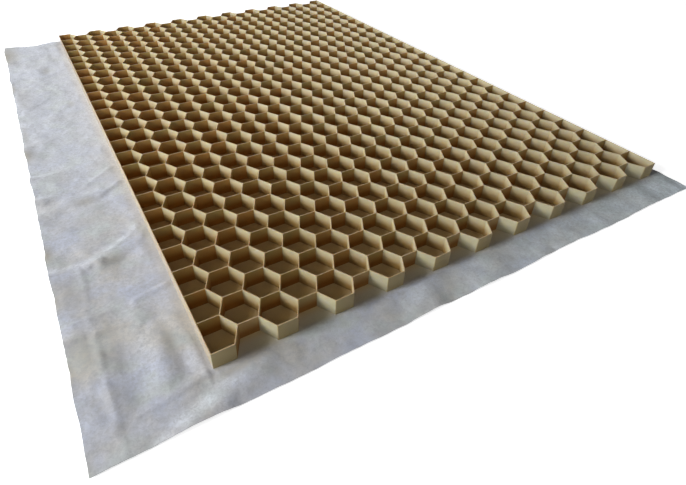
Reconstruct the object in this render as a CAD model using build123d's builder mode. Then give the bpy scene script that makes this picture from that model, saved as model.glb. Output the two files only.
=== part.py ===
from build123d import *

import os

# Gravel grid: a thin-walled plastic honeycomb bonded to a nonwoven geotextile sheet.
# X runs across the panel, Y along it, Z up. The origin is under the middle of the sheet.

# Driving dimensions, in millimetres
panel_width = 800.0
panel_length = 1200.0
wall_height = 25.0
wall_thickness = 1.2
columns = 21
rows = 25
sections = 3

sheet_thickness = 0.6
flap_left = 140.0
flap_right = 28.0
flap_front = 56.0
flap_back = 30.0

# Place of the panel on the sheet
sheet_width = flap_left + panel_width + flap_right
sheet_length = flap_front + panel_length + flap_back
panel_left = flap_left - sheet_width / 2
panel_front = flap_front - sheet_length / 2

# The lattice runs down the middle of the walls. A cell is two flats wide at its side corners,
# and the panel's two side walls cut those corners off the first and the last column.
cell_pitch = (panel_length - wall_thickness) / rows
flat_length = (panel_width - wall_thickness) / (1.5 * columns - 0.5)
column_pitch = 1.5 * flat_length
first_column_x = panel_left + wall_thickness / 2 + flat_length / 2
first_cell_y = panel_front + wall_thickness / 2 + cell_pitch / 2


def column_cells(column):
    """Centres of a column's cells, front to back. Even columns sit half a cell back and have one cell less."""
    even = column % 2 == 0
    x = first_column_x + (column - 1) * column_pitch
    start = first_cell_y + (cell_pitch / 2 if even else 0)
    return [(x, start + row * cell_pitch) for row in range(rows - 1 if even else rows)]


def column_side(column, side):
    """Corners of the slanted walls on the left (-1) or right (1) of a column, front to back, without the ends."""
    corners = []
    for x, y in column_cells(column):
        corners.append((x + side * flat_length / 2, y - cell_pitch / 2))
        corners.append((x + side * flat_length, y))
    return corners[1:]


def stepped_edge(first, last, end):
    """Ends of the outermost flats of some columns at the front (0) or back (-1), left to right."""
    reach = -cell_pitch / 2 if end == 0 else cell_pitch / 2
    corners = []
    for column in range(first, last + 1):
        x, y = column_cells(column)[end]
        corners.append((x - flat_length / 2, y + reach))
        corners.append((x + flat_length / 2, y + reach))
    return corners


# One cell in plan, inside its walls: two walls across the panel and four slanted ones
with BuildSketch() as inner_opening:
    with BuildLine():
        Polyline(
            (-flat_length / 2, -cell_pitch / 2),
            (flat_length / 2, -cell_pitch / 2),
            (flat_length, 0),
            (flat_length / 2, cell_pitch / 2),
            (-flat_length / 2, cell_pitch / 2),
            (-flat_length, 0),
            close=True,
        )
    make_face()
    offset(amount=-wall_thickness / 2, kind=Kind.INTERSECTION, mode=Mode.REPLACE)

# The five-sided cells along the two side walls
with BuildSketch() as left_opening:
    add(inner_opening.sketch)
    with Locations(((wall_thickness - flat_length) / 2, 0)):
        Rectangle(2 * flat_length, cell_pitch, align=(Align.MIN, Align.CENTER), mode=Mode.INTERSECT)

with BuildSketch() as right_opening:
    mirror(left_opening.sketch, about=Plane.YZ)

os.makedirs("parts", exist_ok=True)

# The honeycomb is one moulding, kept in sections. Each section owns the slanted walls on its right,
# and the flats of the next section are seated against them.
previous_outline = None
for number in range(1, sections + 1):
    first = 1 + round((number - 1) * columns / sections)
    last = round(number * columns / sections)
    right_side = column_side(last, 1) if last < columns else []
    left_side = column_side(first, -1) if first > 1 else []

    with BuildSketch() as outline:
        with BuildLine():
            Polyline(
                *stepped_edge(first, last, 0),
                *right_side,
                *reversed(stepped_edge(first, last, -1)),
                *reversed(left_side),
                close=True,
            )
        make_face()
        offset(amount=wall_thickness / 2, kind=Kind.INTERSECTION, mode=Mode.REPLACE)

    with BuildPart() as honeycomb_section:
        with BuildSketch(Plane.XY.offset(sheet_thickness)):
            add(outline.sketch)
            if previous_outline:
                add(previous_outline, mode=Mode.SUBTRACT)
            for column in range(first, last + 1):
                opening = {1: left_opening, columns: right_opening}.get(column, inner_opening)
                with Locations(*column_cells(column)):
                    add(opening.sketch, mode=Mode.SUBTRACT, clean=False)
        extrude(amount=wall_height, clean=False)
    honeycomb_section.part.label = f"honeycomb_section_{number}"
    export_step(honeycomb_section.part, f"parts/honeycomb_section_{number}.step")
    previous_outline = outline.sketch

# Geotextile under the whole honeycomb, with a flap on every side
with BuildPart() as geotextile_sheet:
    with BuildSketch():
        Rectangle(sheet_width, sheet_length)
    extrude(amount=sheet_thickness)
geotextile_sheet.part.label = "geotextile_sheet"
export_step(geotextile_sheet.part, "parts/geotextile_sheet.step")
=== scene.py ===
from math import cos, hypot, pi, radians, sin

import bpy
from mathutils import Euler, Matrix, Vector, noise


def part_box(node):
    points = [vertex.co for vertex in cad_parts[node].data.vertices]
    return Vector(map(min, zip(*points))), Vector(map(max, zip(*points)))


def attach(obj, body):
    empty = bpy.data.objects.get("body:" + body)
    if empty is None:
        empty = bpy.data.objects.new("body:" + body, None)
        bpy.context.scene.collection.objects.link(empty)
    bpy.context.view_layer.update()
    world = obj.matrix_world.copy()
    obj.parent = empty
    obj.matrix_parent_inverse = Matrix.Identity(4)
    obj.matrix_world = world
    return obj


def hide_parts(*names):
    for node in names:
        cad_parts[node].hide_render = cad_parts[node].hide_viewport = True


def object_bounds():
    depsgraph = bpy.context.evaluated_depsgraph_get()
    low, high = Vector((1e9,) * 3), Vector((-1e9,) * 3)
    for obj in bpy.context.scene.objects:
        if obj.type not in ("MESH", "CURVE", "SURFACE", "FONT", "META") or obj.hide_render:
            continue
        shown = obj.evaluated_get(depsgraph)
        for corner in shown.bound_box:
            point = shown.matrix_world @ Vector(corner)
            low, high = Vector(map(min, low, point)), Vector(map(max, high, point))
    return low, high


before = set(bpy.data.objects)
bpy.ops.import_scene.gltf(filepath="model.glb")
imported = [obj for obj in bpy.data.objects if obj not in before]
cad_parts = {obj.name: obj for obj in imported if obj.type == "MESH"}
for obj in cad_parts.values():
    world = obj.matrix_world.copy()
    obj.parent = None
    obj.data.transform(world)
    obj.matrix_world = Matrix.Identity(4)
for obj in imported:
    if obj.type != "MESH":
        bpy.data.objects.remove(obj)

cad_low, cad_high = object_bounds()

MM = 0.001
SECTIONS = ["honeycomb_section_1", "honeycomb_section_2", "honeycomb_section_3"]

# The sheet and the panel at rest, from the frame
sheet_low, sheet_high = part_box("geotextile_sheet")
panel_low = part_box(SECTIONS[0])[0]
panel_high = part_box(SECTIONS[-1])[1]

# The panel's lattice, as it is moulded
COLUMNS = 21
ROWS = 25
WALL = 1.2 * MM
CELL_PITCH = (panel_high.y - panel_low.y - WALL) / ROWS
FLAT_LENGTH = (panel_high.x - panel_low.x - WALL) / (1.5 * COLUMNS - 0.5)
COLUMN_PITCH = 1.5 * FLAT_LENGTH
first_column_x = panel_low.x + WALL / 2 + FLAT_LENGTH / 2
first_cell_y = panel_low.y + WALL / 2 + CELL_PITCH / 2

# The two side walls stand this far outside the ends of the lattice
SIDE_WALLS_OUT = 1.8 * MM
side_low = panel_low.x - SIDE_WALLS_OUT
side_high = panel_high.x + SIDE_WALLS_OUT

# Rounding of the plastic, and the longest sliver of it that is merged away
CORNER_RADIUS = 0.7 * MM
LIP_RADIUS = 0.35 * MM
ROUNDING_STEPS = 2
SLIVER = 0.02 * MM


def deselect():
    bpy.ops.object.select_all(action="DESELECT")


def pick(*pieces):
    """Selects these objects alone and makes the first one active."""
    deselect()
    for piece in pieces:
        piece.select_set(True)
    bpy.context.view_layer.objects.active = pieces[0]


def apply(piece, modifier):
    pick(piece)
    bpy.ops.object.modifier_apply(modifier=modifier.name)


def edit(piece, mode):
    """Gets one mesh ready for edit mode on vertices, edges or faces, with nothing selected."""
    pick(piece)
    bpy.ops.object.mode_set(mode="EDIT")
    bpy.ops.mesh.select_mode(type=mode)
    bpy.ops.mesh.select_all(action="DESELECT")
    bpy.ops.object.mode_set(mode="OBJECT")


def resume():
    """Back to edit mode, with what was selected in code."""
    bpy.ops.object.mode_set(mode="EDIT")


def done():
    bpy.ops.object.mode_set(mode="OBJECT")


# Node helpers for the finishes

# The colour sockets of a Mix node, which has sockets for numbers and vectors before them
FIRST_COLOUR = 6
SECOND_COLOUR = 7
MIXED_COLOUR = 2


def new_finish(name):
    finish = bpy.data.materials.new(name)
    finish.use_nodes = True
    tree = finish.node_tree
    return finish, tree, tree.nodes["Principled BSDF"]


def add_node(tree, kind, **values):
    """Adds a shader node. Names of sockets are written with underscores for spaces."""
    node = tree.nodes.new(kind)
    for name, value in values.items():
        if hasattr(node, name):
            setattr(node, name, value)
        else:
            node.inputs[name.replace("_", " ")].default_value = value
    return node


def link(tree, out_socket, in_socket):
    tree.links.new(out_socket, in_socket)


def set_or_link(tree, value, socket):
    """Gives a socket another node's output, or else a number or colour of its own."""
    if hasattr(value, "is_output"):
        link(tree, value, socket)
    elif hasattr(value, "__len__"):
        socket.default_value = (*value, 1.0)
    else:
        socket.default_value = value


def coordinates(tree):
    """The place on the piece, whole and then as X, Y and Z."""
    place = add_node(tree, "ShaderNodeTexCoord").outputs["Object"]
    parts = add_node(tree, "ShaderNodeSeparateXYZ")
    link(tree, place, parts.inputs["Vector"])
    return place, parts.outputs["X"], parts.outputs["Y"], parts.outputs["Z"]


def kept_value(tree, name):
    """A value that the mesh keeps in an attribute."""
    return add_node(tree, "ShaderNodeAttribute", attribute_name=name).outputs["Fac"]


def colour_mix(tree, factor, first, second):
    """Mixes two colours, each a socket or a fixed colour."""
    mix = add_node(tree, "ShaderNodeMix", data_type="RGBA")
    link(tree, factor, mix.inputs["Factor"])
    set_or_link(tree, first, mix.inputs[FIRST_COLOUR])
    set_or_link(tree, second, mix.inputs[SECOND_COLOUR])
    return mix.outputs[MIXED_COLOUR]


def ramp(tree, value, low, high, start=0.0, end=1.0):
    """Stretches a value between two limits over a new range, and stops at its ends."""
    stretch = add_node(tree, "ShaderNodeMapRange", From_Min=low, From_Max=high, To_Min=start, To_Max=end)
    link(tree, value, stretch.inputs["Value"])
    return stretch.outputs["Result"]


def calculate(tree, operation, first, second):
    node = add_node(tree, "ShaderNodeMath", operation=operation)
    set_or_link(tree, first, node.inputs[0])
    set_or_link(tree, second, node.inputs[1])
    return node.outputs["Value"]


def product(tree, first, second):
    return calculate(tree, "MULTIPLY", first, second)


def larger(tree, first, second):
    return calculate(tree, "MAXIMUM", first, second)


def noise_node(tree, place, scale, detail=3.0, roughness=0.55, distortion=0.0):
    node = add_node(tree, "ShaderNodeTexNoise", Scale=scale, Detail=detail, Roughness=roughness,
                    Distortion=distortion)
    link(tree, place, node.inputs["Vector"])
    return node.outputs["Fac"]


def bump(tree, height, strength, distance, below=None):
    node = add_node(tree, "ShaderNodeBump", Strength=strength, Distance=distance)
    link(tree, height, node.inputs["Height"])
    if below:
        link(tree, below, node.inputs["Normal"])
    return node.outputs["Normal"]


# Finishes

BLACK = (0.0, 0.0, 0.0)

# Tones of painted shade that the faces of the honeycomb keep in an attribute
OUTER_WALL = 0.0
PALE_INNER_WALL = 0.4
DEEP_PAINTED_WALL_SHADE = 1.0
END_FLAT_SHADE = -1.0


def moulded_plastic():
    """Satin beige polypropylene: faintly cloudy and translucent, with painted shade on the walls inside the
    cells, towards their bottom, on the end flats and towards the front.
    """
    finish, tree, shader = new_finish("beige_polypropylene")
    place, x, y, z = coordinates(tree)
    tone = kept_value(tree, "painted_wall_shade")
    cloud = noise_node(tree, place, 38.0, 4.0)
    beige = colour_mix(tree, ramp(tree, cloud, 0.3, 0.7), (0.486, 0.440, 0.284), (0.548, 0.500, 0.328))

    # Painted shade: the inner walls turned from the window light are deeper in tone, here redder and there
    # greener
    reddish_painted_shade = (0.490, 0.262, 0.062)
    greenish_painted_shade = (0.402, 0.306, 0.092)
    hue = ramp(tree, noise_node(tree, place, 19.0, 2.0), 0.36, 0.64)
    deep = colour_mix(tree, hue, reddish_painted_shade, greenish_painted_shade)
    body = colour_mix(tree, ramp(tree, tone, PALE_INNER_WALL, DEEP_PAINTED_WALL_SHADE, 0.0, 0.95), beige, deep)

    # Painted shade: they are browner towards the foot, most of all where they are deep
    pale_brown = (0.320, 0.180, 0.042)
    deep_brown = (0.245, 0.090, 0.006)
    foot = ramp(tree, z, panel_low.z + 7 * MM, panel_high.z, 1.0, 0.0)
    foot = product(tree, foot, ramp(tree, tone, OUTER_WALL, 0.45, 0.03, 1.0))
    brown = colour_mix(tree, ramp(tree, tone, PALE_INNER_WALL, DEEP_PAINTED_WALL_SHADE), pale_brown, deep_brown)
    body = colour_mix(tree, foot, body, brown)

    # Painted shade: the outermost flats of the stepped edges, which the window light only grazes, are olive
    olive_shade = (0.450, 0.342, 0.150)
    body = colour_mix(tree, ramp(tree, tone, OUTER_WALL, END_FLAT_SHADE, 0.0, 0.85), body, olive_shade)

    # The outsides of the two side walls are creamier, and darken towards the back
    near_cream = (0.455, 0.385, 0.290)
    far_cream = (0.260, 0.210, 0.153)
    skin = 0.5 * MM
    left_side = ramp(tree, x, side_low + skin, side_low)
    right_side = ramp(tree, x, side_high - skin, side_high)
    cream = colour_mix(tree, ramp(tree, y, panel_low.y, panel_high.y), near_cream, far_cream)
    body = colour_mix(tree, larger(tree, left_side, right_side), body, cream)

    # Painted shade: a little darker towards the front, where the window light is weaker
    painted_shade_ends = panel_low.y + 0.45
    body = colour_mix(tree, ramp(tree, y, panel_low.y, painted_shade_ends, 0.20, 0.0), body, BLACK)

    # Lips that let the light out: tan along the top edges, in patches
    tan = (0.475, 0.355, 0.218)
    lip = ramp(tree, z, panel_high.z - 0.8 * MM, panel_high.z - 0.1 * MM)
    rub = ramp(tree, noise_node(tree, place, 130.0, 3.0), 0.35, 0.65, 0.45, 1.0)
    body = colour_mix(tree, product(tree, lip, rub), body, tan)
    link(tree, body, shader.inputs["Base Color"])

    link(tree, ramp(tree, cloud, 0.3, 0.7, 0.42, 0.55), shader.inputs["Roughness"])
    shader.inputs["IOR"].default_value = 1.49
    shader.inputs["Subsurface Weight"].default_value = 0.3
    shader.inputs["Subsurface Radius"].default_value = (1.0, 0.65, 0.20)
    shader.inputs["Subsurface Scale"].default_value = 0.0025
    uneven = bump(tree, noise_node(tree, place, 55.0, 1.0), 0.25, 0.8 * MM)
    grain = bump(tree, noise_node(tree, place, 1100.0, 3.0, 0.6), 0.10, 0.1 * MM, uneven)
    link(tree, grain, shader.inputs["Normal"])
    return finish


# Where the looks of the fleece change, in metres along the sheet, and the last one across it
WARMTH_FADES = (-0.40, 0.20)
PAINTED_LIGHT_TO_BACK = (-0.38, 0.05)
WALL_GLOW_PALER = (-0.38, -0.08)
CELL_SHADE_DEEPER = (-0.54, -0.20)
PAINTED_LIGHT_TO_RIGHT = (-0.15, 0.45)


def needled_fleece():
    """Pale grey nonwoven: crossing fibres and clouds and soiled patches, with painted highlights on the
    creases, painted shade in patches, and painted light and shade beside, in front of and under the panel.
    """
    finish, tree, shader = new_finish("pale_grey_fleece")
    place, x, y, _ = coordinates(tree)

    # Clouds of cool, warm and greenish grey
    thick = noise_node(tree, place, 34.0, 7.0, 0.66)
    cloud = ramp(tree, thick, 0.30, 0.70)
    cool = colour_mix(tree, cloud, (0.450, 0.468, 0.546), (0.574, 0.600, 0.706))
    warm = colour_mix(tree, cloud, (0.498, 0.476, 0.440), (0.632, 0.606, 0.584))
    green = colour_mix(tree, cloud, (0.462, 0.492, 0.480), (0.580, 0.612, 0.606))
    warmth = ramp(tree, noise_node(tree, place, 13.0, 4.0, 0.6), 0.38, 0.62)
    warmth = product(tree, warmth, ramp(tree, y, *WARMTH_FADES, 1.0, 0.4))
    fleece = colour_mix(tree, warmth, cool, warm)
    greenness = ramp(tree, noise_node(tree, place, 21.0, 3.0), 0.50, 0.66)
    fleece = colour_mix(tree, greenness, fleece, green)
    # Painted light: paler towards the back, where the window light is stronger
    painted_light_grey = (0.700, 0.724, 0.776)
    fleece = colour_mix(tree, ramp(tree, y, *PAINTED_LIGHT_TO_BACK, 0.0, 0.45), fleece, painted_light_grey)

    # Painted highlights on the creases, and soil and painted shade in patches
    highlight_grey = (0.770, 0.805, 0.870)
    crease_highlight = product(tree, kept_value(tree, "painted_highlight"), ramp(tree, thick, 0.30, 0.60, 0.5, 1.0))
    fleece = colour_mix(tree, crease_highlight, fleece, highlight_grey)
    earth_and_shade = (0.405, 0.362, 0.275)
    soil_and_shade = product(tree, kept_value(tree, "soil_and_shade"), ramp(tree, thick, 0.35, 0.60, 0.65, 1.0))
    fleece = colour_mix(tree, soil_and_shade, fleece, earth_and_shade)

    # Painted glow of warm light thrown back by the plastic, in a strip along the left side wall: darker at
    # the front, paler towards the back
    near_wall_glow = (0.400, 0.350, 0.270)
    far_wall_glow = (0.640, 0.570, 0.480)
    wall_glow_strip = ramp(tree, x, side_low - 16 * MM, side_low - 2 * MM, 0.0, 0.50)
    wall_glow_strip = product(tree, wall_glow_strip, ramp(tree, y, panel_low.y - 2 * MM, panel_low.y + 14 * MM))
    wall_glow = colour_mix(tree, ramp(tree, y, *WALL_GLOW_PALER), near_wall_glow, far_wall_glow)
    fleece = colour_mix(tree, wall_glow_strip, fleece, wall_glow)

    # Painted shade makes the front flap a little darker past the panel's corner, where the panel keeps some
    # light off it, and painted light makes it paler and cooler towards its right end, where the window
    # light is weaker
    front_flap_shade = (0.0, 0.03, 0.02)
    on_front_flap = ramp(tree, y, panel_low.y, panel_low.y - 15 * MM)
    shade_from_corner = ramp(tree, x, panel_low.x - 10 * MM, panel_low.x + 50 * MM, 0.0, 0.11)
    fleece = colour_mix(tree, product(tree, on_front_flap, shade_from_corner), fleece, front_flap_shade)
    painted_light_silver = colour_mix(tree, cloud, (0.610, 0.710, 0.740), (0.780, 0.875, 0.930))
    light_to_right = ramp(tree, x, *PAINTED_LIGHT_TO_RIGHT, 0.0, 0.64)
    fleece = colour_mix(tree, product(tree, on_front_flap, light_to_right), fleece, painted_light_silver)

    # Dark specks
    speck_grey = (0.350, 0.350, 0.365)
    specks = ramp(tree, noise_node(tree, place, 230.0, 4.0, 0.75, 0.6), 0.25, 0.6, 0.8, 0.0)
    fleece = colour_mix(tree, specks, fleece, speck_grey)

    # Painted shade, warmed by light bounced from the plastic: olive in the notches of the stepped edges,
    # brown inside the cells, deeper towards the back
    notch_shade = (0.530, 0.455, 0.285)
    near_cell_shade = (0.500, 0.370, 0.185)
    far_cell_shade = (0.345, 0.180, 0.050)
    left_in = ramp(tree, x, side_low, side_low + 2 * MM)
    right_in = ramp(tree, x, side_high, side_high - 2 * MM)
    between_sides = product(tree, left_in, right_in)
    near_front = ramp(tree, y, panel_low.y - 7 * MM, panel_low.y + 5 * MM)
    near_back = ramp(tree, y, panel_high.y + 7 * MM, panel_high.y - 5 * MM)
    in_notches = product(tree, between_sides, product(tree, near_front, near_back))
    fleece = colour_mix(tree, product(tree, in_notches, 0.7), fleece, notch_shade)
    past_front = ramp(tree, y, panel_low.y + 12 * MM, panel_low.y + 26 * MM)
    past_back = ramp(tree, y, panel_high.y - 12 * MM, panel_high.y - 26 * MM)
    in_cells = product(tree, between_sides, product(tree, past_front, past_back))
    cell_shade = colour_mix(tree, ramp(tree, y, *CELL_SHADE_DEEPER), near_cell_shade, far_cell_shade)
    fleece = colour_mix(tree, in_cells, fleece, cell_shade)
    link(tree, fleece, shader.inputs["Base Color"])

    shader.inputs["Roughness"].default_value = 0.95
    shader.inputs["Sheen Weight"].default_value = 0.12
    shader.inputs["Specular IOR Level"].default_value = 0.25

    # Fibres: the same noise drawn out along three slanted directions
    heights = []
    for turn in (0.5, 1.9, 2.6):
        drawn = add_node(tree, "ShaderNodeMapping", Rotation=(0, 0, turn), Scale=(260.0, 2400.0, 900.0))
        link(tree, place, drawn.inputs["Vector"])
        heights.append(noise_node(tree, drawn.outputs["Vector"], 1.0, 2.0, 0.6, 0.8))
    fibres = larger(tree, heights[0], larger(tree, heights[1], heights[2]))
    pressed = bump(tree, thick, 0.50, 1.4 * MM)
    link(tree, bump(tree, fibres, 0.60, 0.4 * MM, pressed), shader.inputs["Normal"])
    return finish


# Honeycomb, one moulding

def one_cell():
    """A flat six-sided cell with corners to the left and right, on the middle of its walls."""
    deselect()
    bpy.ops.mesh.primitive_circle_add(vertices=6, radius=FLAT_LENGTH, fill_type="NGON")
    cell = bpy.context.object
    stretch = CELL_PITCH / 2 / (FLAT_LENGTH * sin(pi / 3))
    edit(cell, "VERT")
    resume()
    bpy.ops.mesh.select_all(action="SELECT")
    bpy.ops.transform.rotate(value=radians(30), orient_axis="Z", center_override=(0, 0, 0))
    bpy.ops.transform.resize(value=(1, stretch, 1), center_override=(0, 0, 0))
    done()
    return cell


def cell_columns():
    """All the cells as one flat net, column by column. Every second column sits half a cell back."""
    cell = one_cell()
    columns = []
    for number in range(COLUMNS):
        set_back = number % 2
        column = cell.copy()
        column.data = cell.data.copy()
        bpy.context.scene.collection.objects.link(column)
        column.location.x = first_column_x + COLUMN_PITCH * number
        column.location.y = first_cell_y + CELL_PITCH / 2 * set_back
        column.location.z = panel_low.z
        row = column.modifiers.new("row", "ARRAY")
        row.count = ROWS - set_back
        row.use_relative_offset = False
        row.use_constant_offset = True
        row.constant_offset_displace = (0, CELL_PITCH, 0)
        apply(column, row)
        columns.append(column)
    bpy.data.objects.remove(cell)
    pick(*columns)
    bpy.ops.object.join()
    bpy.ops.object.transform_apply(location=True, rotation=True, scale=True)
    return bpy.context.object


def honeycomb(plastic):
    """The grid as one moulding: a net of cells pulled up into walls, thickened and rounded over."""
    comb = cell_columns()
    comb.name = "moulded_honeycomb"

    # The side walls cut the outer corners off the first and the last column, and stand a little further out
    edit(comb, "VERT")
    resume()
    bpy.ops.mesh.select_all(action="SELECT")
    bpy.ops.mesh.remove_doubles(threshold=0.1 * MM)
    bpy.ops.mesh.select_all(action="DESELECT")
    done()
    for corner in comb.data.vertices:
        corner.select = corner.co.x < panel_low.x or corner.co.x > panel_high.x
    resume()
    bpy.ops.mesh.dissolve_verts()
    done()
    for corner in comb.data.vertices:
        if corner.co.x < panel_low.x + WALL:
            corner.co.x = side_low + WALL / 2
        elif corner.co.x > panel_high.x - WALL:
            corner.co.x = side_high - WALL / 2
    resume()

    # Only the net of edges stays, and is pulled up into walls
    bpy.ops.mesh.select_all(action="SELECT")
    bpy.ops.mesh.delete(type="ONLY_FACE")
    bpy.ops.mesh.select_all(action="SELECT")
    rise = panel_high.z - panel_low.z
    bpy.ops.mesh.extrude_edges_move(TRANSFORM_OT_translate={"value": (0, 0, rise)})
    done()

    walls = comb.modifiers.new("walls", "SOLIDIFY")
    walls.solidify_mode = "NON_MANIFOLD"
    walls.nonmanifold_thickness_mode = "EVEN"
    walls.thickness = WALL
    walls.offset = 0
    apply(comb, walls)

    # Upright corners get the radius of the mould, then the lips at the top are rounded over
    edit(comb, "EDGE")
    select_sharp_edges(comb, upright=True)
    resume()
    bpy.ops.mesh.bevel(offset=CORNER_RADIUS, segments=ROUNDING_STEPS, affect="EDGES", clamp_overlap=True)
    done()
    edit(comb, "EDGE")
    select_sharp_edges(comb, upright=False)
    resume()
    bpy.ops.mesh.bevel(offset=LIP_RADIUS, segments=ROUNDING_STEPS, affect="EDGES", clamp_overlap=True)

    # Slivers that the two bevels leave at the junctions are merged away
    bpy.ops.mesh.select_all(action="SELECT")
    bpy.ops.mesh.remove_doubles(threshold=SLIVER)
    done()

    mark_inner_walls(comb)
    bpy.ops.object.shade_smooth_by_angle(angle=radians(35))
    comb.data.materials.clear()
    comb.data.materials.append(plastic)
    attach(comb, "root")
    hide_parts(*SECTIONS)


def in_notch(place):
    """Whether a place lies outside the stepped front or back edge, in one of its notches or beyond."""
    in_from_edge = min(place.y - panel_low.y, panel_high.y - place.y) - WALL / 2
    if in_from_edge < 0:
        return True
    columns_across = (place.x - first_column_x) / COLUMN_PITCH
    column = round(columns_across)
    off_middle = abs(columns_across - column) * COLUMN_PITCH
    notch_half_width = FLAT_LENGTH * (1 - in_from_edge / CELL_PITCH)
    set_back = column % 2 == 1
    return set_back and in_from_edge < CELL_PITCH / 2 and off_middle < notch_half_width


def mark_inner_walls(comb):
    """Keeps a tone of painted shade on each face. Inner walls that face left, towards the window light, are
    pale, and the others, turned from it, are deep in painted shade.
    """
    ahead = 3 * MM
    notch_painted_shade = 0.9
    tones = comb.data.attributes.new("painted_wall_shade", "FLOAT", "FACE")
    for face in comb.data.polygons:
        before = face.center + face.normal * ahead
        # 0 where the face looks left, towards the window light, 1 where it looks forward, back or right,
        # away from it
        turned = min(1.0, max(0.0, (face.normal.x + 0.75) / 0.5))
        if not side_low < before.x < side_high:
            tone = OUTER_WALL
        elif not panel_low.y < before.y < panel_high.y:
            tone = END_FLAT_SHADE
        elif in_notch(before):
            tone = notch_painted_shade * turned
        else:
            tone = PALE_INNER_WALL + (DEEP_PAINTED_WALL_SHADE - PALE_INNER_WALL) * turned
        tones.data[face.index].value = tone


def select_sharp_edges(comb, upright):
    """Selects the upright corners of the walls, or else the edges of their tops."""
    least_rise = 1 * MM
    corner_turn = radians(20)
    top = panel_high.z - 0.01 * MM
    top_turn = radians(60)
    mesh = comb.data
    normals_at = {}
    for face in mesh.polygons:
        for key in face.edge_keys:
            normals_at.setdefault(key, []).append(face.normal.copy())
    for edge in mesh.edges:
        low, high = (mesh.vertices[i].co for i in edge.vertices)
        normals = normals_at[edge.key]
        turn = normals[0].angle(normals[1]) if len(normals) == 2 else 0
        if upright:
            edge.select = abs(high.z - low.z) > least_rise and turn > corner_turn
        else:
            edge.select = min(low.z, high.z) > top and turn > top_turn


# Geotextile sheet. Its folds, ripples, patches and edges are in millimetres

# Folds of the free flaps: points along the crest, its height at both ends, and how far it
# runs out on the left and on the right of its course
FOLDS = [
    # Left flap: across it, from the front corner to the back
    ([(-432, -604), (-385, -598), (-342, -588)], (1.0, 1.6), (6, 6)),
    ([(-410, -593), (-372, -590), (-345, -584)], (0.6, 1.1), (5, 5)),
    ([(-495, -470), (-455, -472), (-418, -474)], (1.8, 1.2), (6, 10)),
    ([(-472, -446), (-430, -446)], (0.9, 0.7), (6, 8)),
    ([(-398, -442), (-350, -433)], (1.1, 1.5), (7, 9)),
    ([(-495, -347), (-448, -348), (-420, -350)], (4.0, 2.6), (13, 34)),
    ([(-420, -352), (-392, -344), (-358, -320)], (2.6, 1.8), (31, 13)),
    ([(-405, -330), (-372, -312), (-356, -290)], (0.8, 1.3), (8, 8)),
    ([(-440, -179), (-412, -178), (-390, -172)], (2.0, 1.8), (20, 27)),
    ([(-392, -186), (-358, -160)], (1.0, 1.6), (7, 9)),
    ([(-495, -156), (-462, -157), (-436, -160)], (3.6, 1.6), (11, 20)),
    ([(-404, -142), (-380, -124), (-360, -106)], (1.0, 1.4), (7, 10)),
    ([(-495, -83), (-462, -83), (-434, -80)], (3.6, 1.0), (12, 24)),
    ([(-392, 188), (-380, 228)], (1.2, 1.0), (30, 16)),
    ([(-432, 660), (-404, 612)], (1.8, 1.0), (14, 12)),
    # Left flap: along it
    ([(-488, 5), (-486, 32)], (1.4, 1.4), (10, 24)),
    ([(-486, 300), (-486, 370)], (1.0, 1.0), (10, 20)),
    ([(-492, 500), (-490, 570), (-488, 650)], (2.0, 4.6), (20, 48)),
    ([(-475, 210), (-477, 285)], (1.1, 1.1), (12, 48)),
    ([(-449, -660), (-450, -560), (-449, -450), (-446, -352)], (0.75, 0.55), (10, 5)),
    ([(-453, -590), (-453, -520), (-452, -462)], (1.7, 1.6), (60, 28)),
    ([(-392, -572), (-389, -520), (-394, -466)], (1.5, 1.6), (34, 20)),
    ([(-351, -590), (-354, -530)], (1.5, 1.0), (20, 7)),
    ([(-421, 385), (-419, 450)], (1.1, 1.1), (32, 24)),
    ([(-390, 505), (-387, 560), (-389, 604)], (0.8, 0.7), (26, 7)),
    # Front flap, from the left to the right
    ([(-412, -660), (-354, -635), (-296, -607)], (3.8, 3.0), (27, 26)),
    ([(-82, -656), (-66, -625), (-48, -598)], (3.8, 2.6), (46, 32)),
    ([(16, -652), (38, -600)], (2.2, 1.5), (40, 56)),
    ([(100, -652), (122, -600)], (1.3, 1.0), (26, 30)),
    ([(170, -652), (190, -600)], (1.4, 1.0), (30, 44)),
    ([(252, -652), (274, -600)], (1.4, 1.0), (30, 40)),
    ([(366, -652), (392, -604)], (2.2, 1.2), (30, 30)),
    ([(455, -652), (470, -600)], (1.4, 1.0), (20, 16)),
]

# Patches of soil, and of painted shade in the hollows of folds and by the panel's corner: place, reach
# along X and Y, and how strong
SOIL_AND_SHADE_PATCHES = [
    (-486, -515, 17, 30, 0.9),
    (-466, -500, 34, 62, 0.55),
    (-436, -500, 24, 90, 0.35),
    (-486, -400, 14, 26, 0.7),
    (-466, -395, 34, 40, 0.45),
    (-486, -298, 20, 34, 0.95),
    (-486, -150, 12, 20, 0.5),
    (-486, 0, 26, 40, 0.9),
    (-486, 335, 15, 50, 0.7),
    (-466, 275, 30, 95, 0.35),
    (-488, 570, 54, 115, 0.9),
    (-478, 90, 9, 60, 0.4),
    (-486, -630, 14, 30, 0.5),
    (-378, -532, 13, 50, 0.45),
    (-322, -599, 34, 11, 0.75),
    (-402, -352, 15, 20, 0.50),
    (-414, -193, 36, 17, 0.45),
    (-379, 200, 11, 26, 0.40),
    (-405, 420, 13, 36, 0.35),
    (-322, -630, 34, 16, 0.30),
    (-30, -612, 20, 32, 0.50),
    (80, -612, 22, 30, 0.35),
    (230, -594, 60, 9, 0.30),
]

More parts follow.
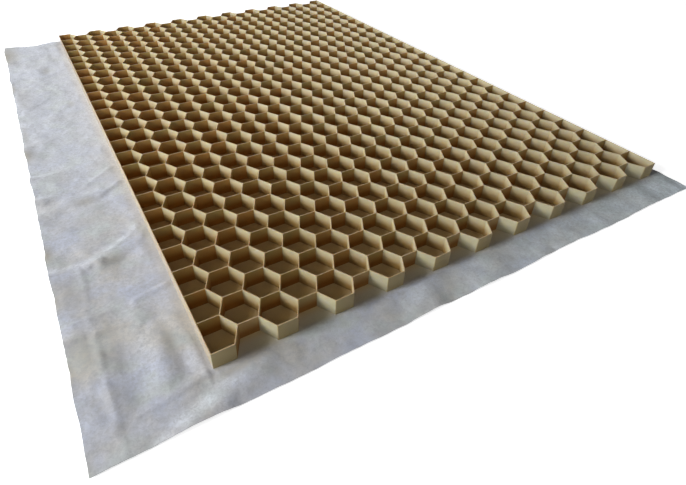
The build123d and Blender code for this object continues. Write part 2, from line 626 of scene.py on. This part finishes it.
# Painted highlights where the creases catch the light, listed in the same way
HIGHLIGHT_PATCHES = [
    (-470, -340, 46, 10, 0.55),
    (-425, -340, 24, 14, 0.45),
    (-400, -326, 22, 17, 0.50),
    (-380, -312, 20, 17, 0.50),
    (-363, -298, 16, 16, 0.40),
    (-475, -150, 26, 9, 0.50),
    (-466, -78, 36, 9, 0.55),
    (-403, -168, 44, 12, 0.35),
    (-404, -515, 16, 66, 0.28),
    (-358, -562, 12, 44, 0.35),
    (-416, -642, 20, 14, 0.50),
    (-392, -629, 26, 14, 0.70),
    (-366, -622, 28, 14, 0.75),
    (-336, -612, 24, 9, 0.60),
    (-82, -614, 32, 28, 0.50),
    (6, -618, 26, 26, 0.25),
    (-410, -60, 60, 50, 0.15),
]

# Ripples of the flaps: their mean height, then the height, length and seed of each wave
RIPPLE_MEAN = 0.9
RIPPLES = [(1.2, 110, 6.3), (1.8, 62, 3.7), (1.2, 29, 8.1), (0.45, 13, 1.9)]

# How much the folds' height varies on its way: the least, then the height, length and seed of one wave
FOLD_LEAST = 0.75
FOLD_CHANGES = (0.9, 45, 12.3)

# Width of the strips along the walls in which ripples and folds die away
RIPPLES_DIE = 20.0
FOLDS_DIE = 10.0

# Cut edges: how far each is drawn in, then its waves in the same way
LEFT_IN = 1.5
LEFT_WAVES = [(2.0, 90, 5.0), (1.3, 38, 6.0), (0.6, 14, 6.5)]
RIGHT_IN = 2.2
RIGHT_WAVES = [(3.2, 26, 2.0), (1.4, 9, 4.0)]
FRONT_IN = 0.4
FRONT_WAVES = [(2.2, 110, 9.0), (0.9, 30, 7.0), (0.4, 12, 7.5)]
BACK_IN = 1.4
BACK_WAVES = [(2.4, 95, 1.0), (0.5, 20, 3.0)]

# A dip in the back edge of the left flap: its depth, its place along X and its reach
DIP = 11.0
DIP_X = -412.0
DIP_REACH = 44.0


def falloff(distance, reach):
    """A rounded crest: 1 on the line, 0 at its reach, level at both."""
    t = min(1.0, abs(distance) / reach)
    return (1 - t) * (1 - t) * (1 + 2 * t)


def fold_height(x, y, crest, heights, reaches):
    """Rise of one fold at a point."""
    nearest = max(reaches)
    found = None
    for i in range(len(crest) - 1):
        (start_x, start_y), (end_x, end_y) = crest[i], crest[i + 1]
        if not min(start_x, end_x) - nearest < x < max(start_x, end_x) + nearest:
            continue
        if not min(start_y, end_y) - nearest < y < max(start_y, end_y) + nearest:
            continue
        run_x, run_y = end_x - start_x, end_y - start_y
        share = ((x - start_x) * run_x + (y - start_y) * run_y) / (run_x ** 2 + run_y ** 2)
        share = max(0.0, min(1.0, share))
        away = hypot(x - start_x - share * run_x, y - start_y - share * run_y)
        if away < nearest:
            nearest = away
            on_left = run_x * (y - start_y) - run_y * (x - start_x) > 0
            found = (on_left, (i + share) / (len(crest) - 1))
    if not found:
        return 0.0
    on_left, course = found
    height = heights[0] + (heights[1] - heights[0]) * course
    return height * falloff(nearest, reaches[0] if on_left else reaches[1])


def patched(patches, x, y):
    """How much of some patches lies on a place: 1 at most, softly gone at their reach."""
    strongest = 0.0
    for patch_x, patch_y, reach_x, reach_y, strength in patches:
        amount = strength * falloff(hypot((x - patch_x) / reach_x, (y - patch_y) / reach_y), 1.0)
        strongest = max(strongest, amount)
    return strongest


def off_panel(x, y):
    """Distance outside the panel, 0 under it."""
    out_x = max(side_low / MM - x, x - side_high / MM, 0)
    out_y = max(panel_low.y / MM - y, y - panel_high.y / MM, 0)
    return hypot(out_x, out_y)


def wave(x, y, height, length, seed):
    return height * noise.noise(Vector((x / length, y / length, seed)))


def waves(x, y, kinds):
    return sum(wave(x, y, *kind) for kind in kinds)


def flap_rise(x, y):
    """Height of the sheet above its flat lie."""
    out = off_panel(x, y)
    if out <= 0:
        return 0.0
    ripples = max(0.0, RIPPLE_MEAN + waves(x, y, RIPPLES))
    uneven = FOLD_LEAST + abs(wave(x, y, *FOLD_CHANGES))
    folds = uneven * sum(fold_height(x, y, *fold) for fold in FOLDS)
    return ripples * (1 - falloff(out, RIPPLES_DIE)) + folds * (1 - falloff(out, FOLDS_DIE))


def way_out(at, wall, edge):
    """How far a place is on its way from a wall to the sheet's edge: 0 at the wall, 1 at the edge."""
    return max(0.0, (at - wall / MM) / (edge / MM - wall / MM))


def edge_sway(x, y):
    """How far the cut edges wander from a straight line, as a shift of x and y."""
    left = way_out(x, panel_low.x, sheet_low.x)
    right = way_out(x, panel_high.x, sheet_high.x)
    front = way_out(y, panel_low.y, sheet_low.y)
    back = way_out(y, panel_high.y, sheet_high.y)
    shift_x = left * (LEFT_IN + waves(0, y, LEFT_WAVES))
    shift_x -= right * (RIGHT_IN + waves(0, y, RIGHT_WAVES))
    shift_y = front * (FRONT_IN + waves(x, 0, FRONT_WAVES))
    shift_y -= back * (BACK_IN + waves(x, 0, BACK_WAVES) + DIP * falloff(x - DIP_X, DIP_REACH))
    return shift_x, shift_y


# The sheet itself, in metres

MESH_STEP = 12.0 * MM
FLAP_CUTS = 3


def grid_lines(*marks):
    """Lines about a mesh step apart, with one on each mark."""
    lines = []
    for start, end in zip(marks, marks[1:]):
        count = max(1, round((end - start) / MESH_STEP))
        lines += [start + (end - start) * i / count for i in range(count)]
    return lines + [marks[-1]]


def geotextile(fleece):
    """A plain grid, cut finer where the flaps lie free, then rippled and given its thickness."""
    across = grid_lines(sheet_low.x, panel_low.x, panel_high.x, sheet_high.x)
    along = grid_lines(sheet_low.y, panel_low.y, panel_high.y, sheet_high.y)
    deselect()
    columns, rows = len(across) - 1, len(along) - 1
    bpy.ops.mesh.primitive_grid_add(x_subdivisions=columns, y_subdivisions=rows, size=2.0)
    sheet = bpy.context.object
    sheet.name = "wrinkled_geotextile"
    for corner in sheet.data.vertices:
        column = round((corner.co.x + 1) / 2 * columns)
        row = round((corner.co.y + 1) / 2 * rows)
        corner.co = (across[column], along[row], sheet_high.z)

    edit(sheet, "FACE")
    for face in sheet.data.polygons:
        face.select = off_panel(face.center.x / MM, face.center.y / MM) > 0
    resume()
    bpy.ops.mesh.subdivide(number_cuts=FLAP_CUTS, smoothness=0)
    done()

    soil_and_shade = sheet.data.attributes.new("soil_and_shade", "FLOAT", "POINT")
    crease_highlight = sheet.data.attributes.new("painted_highlight", "FLOAT", "POINT")
    for corner in sheet.data.vertices:
        x, y = corner.co.x / MM, corner.co.y / MM
        soil_and_shade.data[corner.index].value = patched(SOIL_AND_SHADE_PATCHES, x, y)
        crease_highlight.data[corner.index].value = patched(HIGHLIGHT_PATCHES, x, y)
        shift_x, shift_y = edge_sway(x, y)
        corner.co.x += shift_x * MM
        corner.co.y += shift_y * MM
        corner.co.z += flap_rise(x, y) * MM

    felt = sheet.modifiers.new("felt_thickness", "SOLIDIFY")
    felt.thickness = sheet_high.z - sheet_low.z
    felt.offset = -1.0
    apply(sheet, felt)
    bpy.ops.object.shade_smooth_by_angle(angle=radians(50))
    sheet.data.materials.clear()
    sheet.data.materials.append(fleece)
    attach(sheet, "root")
    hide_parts("geotextile_sheet")


# Studio

WHITE = (1, 1, 1, 1)


def floor():
    """A white floor, lit as the panel is, and brightened towards white only for the camera."""
    under_sheet = 0.5 * MM
    deselect()
    bpy.ops.mesh.primitive_plane_add(size=30.0, location=(0, 0, cad_low.z - under_sheet))
    ground = bpy.context.object
    ground.name = "floor"
    finish, tree, shader = new_finish("white_floor")
    shader.inputs["Base Color"].default_value = (0.80, 0.80, 0.80, 1.0)
    shader.inputs["Roughness"].default_value = 0.9
    glow = add_node(tree, "ShaderNodeEmission", Color=WHITE, Strength=0.78)
    seen = add_node(tree, "ShaderNodeLightPath")
    bright = add_node(tree, "ShaderNodeAddShader")
    shown = add_node(tree, "ShaderNodeMixShader")
    link(tree, shader.outputs["BSDF"], bright.inputs[0])
    link(tree, glow.outputs["Emission"], bright.inputs[1])
    link(tree, seen.outputs["Is Camera Ray"], shown.inputs["Fac"])
    link(tree, shader.outputs["BSDF"], shown.inputs[1])
    link(tree, bright.outputs["Shader"], shown.inputs[2])
    link(tree, shown.outputs["Shader"], tree.nodes["Material Output"].inputs["Surface"])
    ground.data.materials.append(finish)


def studio_air(level):
    """An even white world: full white where it is seen, mirrored or looked through, but a weak light."""
    world = bpy.data.worlds.new("studio_air")
    bpy.context.scene.world = world
    world.use_nodes = True
    tree = world.node_tree
    air = tree.nodes["Background"]
    air.inputs["Color"].default_value = WHITE
    air.inputs["Strength"].default_value = level
    backdrop = add_node(tree, "ShaderNodeBackground", Color=WHITE, Strength=1.0)
    seen = add_node(tree, "ShaderNodeLightPath")
    white_for = larger(tree, seen.outputs["Is Camera Ray"], seen.outputs["Is Glossy Ray"])
    white_for = larger(tree, white_for, seen.outputs["Is Transmission Ray"])
    mix = add_node(tree, "ShaderNodeMixShader")
    link(tree, white_for, mix.inputs["Fac"])
    link(tree, air.outputs["Background"], mix.inputs[1])
    link(tree, backdrop.outputs["Background"], mix.inputs[2])
    link(tree, mix.outputs["Shader"], tree.nodes["World Output"].inputs["Surface"])


def soft_lamp(name, heading, height, distance, size, power, colour=(1, 1, 1)):
    """An area lamp that looks at the middle of the sheet.

    Its heading is measured from -X towards -Y and its height from the floor up, both in degrees.
    """
    data = bpy.data.lights.new(name, "AREA")
    data.shape = "DISK"
    data.size = size
    data.energy = power
    data.color = colour
    lamp = bpy.data.objects.new(name, data)
    bpy.context.scene.collection.objects.link(lamp)
    heading, height = radians(heading), radians(height)
    level = distance * cos(height)
    away = Vector((-level * cos(heading), -level * sin(heading), distance * sin(height)))
    lamp.location = away
    lamp.rotation_euler = (-away).to_track_quat("-Z", "Y").to_euler()


def camera():
    """The photograph's view: low and close over the front left corner, turned a little to the right."""
    data = bpy.data.cameras.new("close_view")
    view = bpy.data.objects.new("close_view", data)
    bpy.context.scene.collection.objects.link(view)
    data.sensor_fit = "HORIZONTAL"
    data.sensor_width = 36.0
    data.lens = 25.85
    data.shift_x = 0.0184
    data.shift_y = -0.0370
    data.clip_start = 0.01
    heading, dip, roll = radians(31.256), radians(37.70), radians(1.19)
    view.location = (-0.40695, -0.92873, 0.46514)
    level = Euler((pi / 2 - dip, 0, -heading), "XYZ").to_matrix()
    view.rotation_euler = (level @ Matrix.Rotation(roll, 3, "Z")).to_euler()
    bpy.context.scene.camera = view


honeycomb(moulded_plastic())
geotextile(needled_fleece())

floor()
studio_air(level=0.01)
soft_lamp("window_light", heading=2, height=24, distance=3.2, size=1.3, power=122,
          colour=(0.97, 0.99, 1.0))
soft_lamp("far_window", heading=-50, height=25, distance=3.0, size=1.5, power=36)
soft_lamp("wall_bounce", heading=80, height=27, distance=3.0, size=2.0, power=11)
camera()

bpy.context.scene.view_settings.view_transform = "Standard"
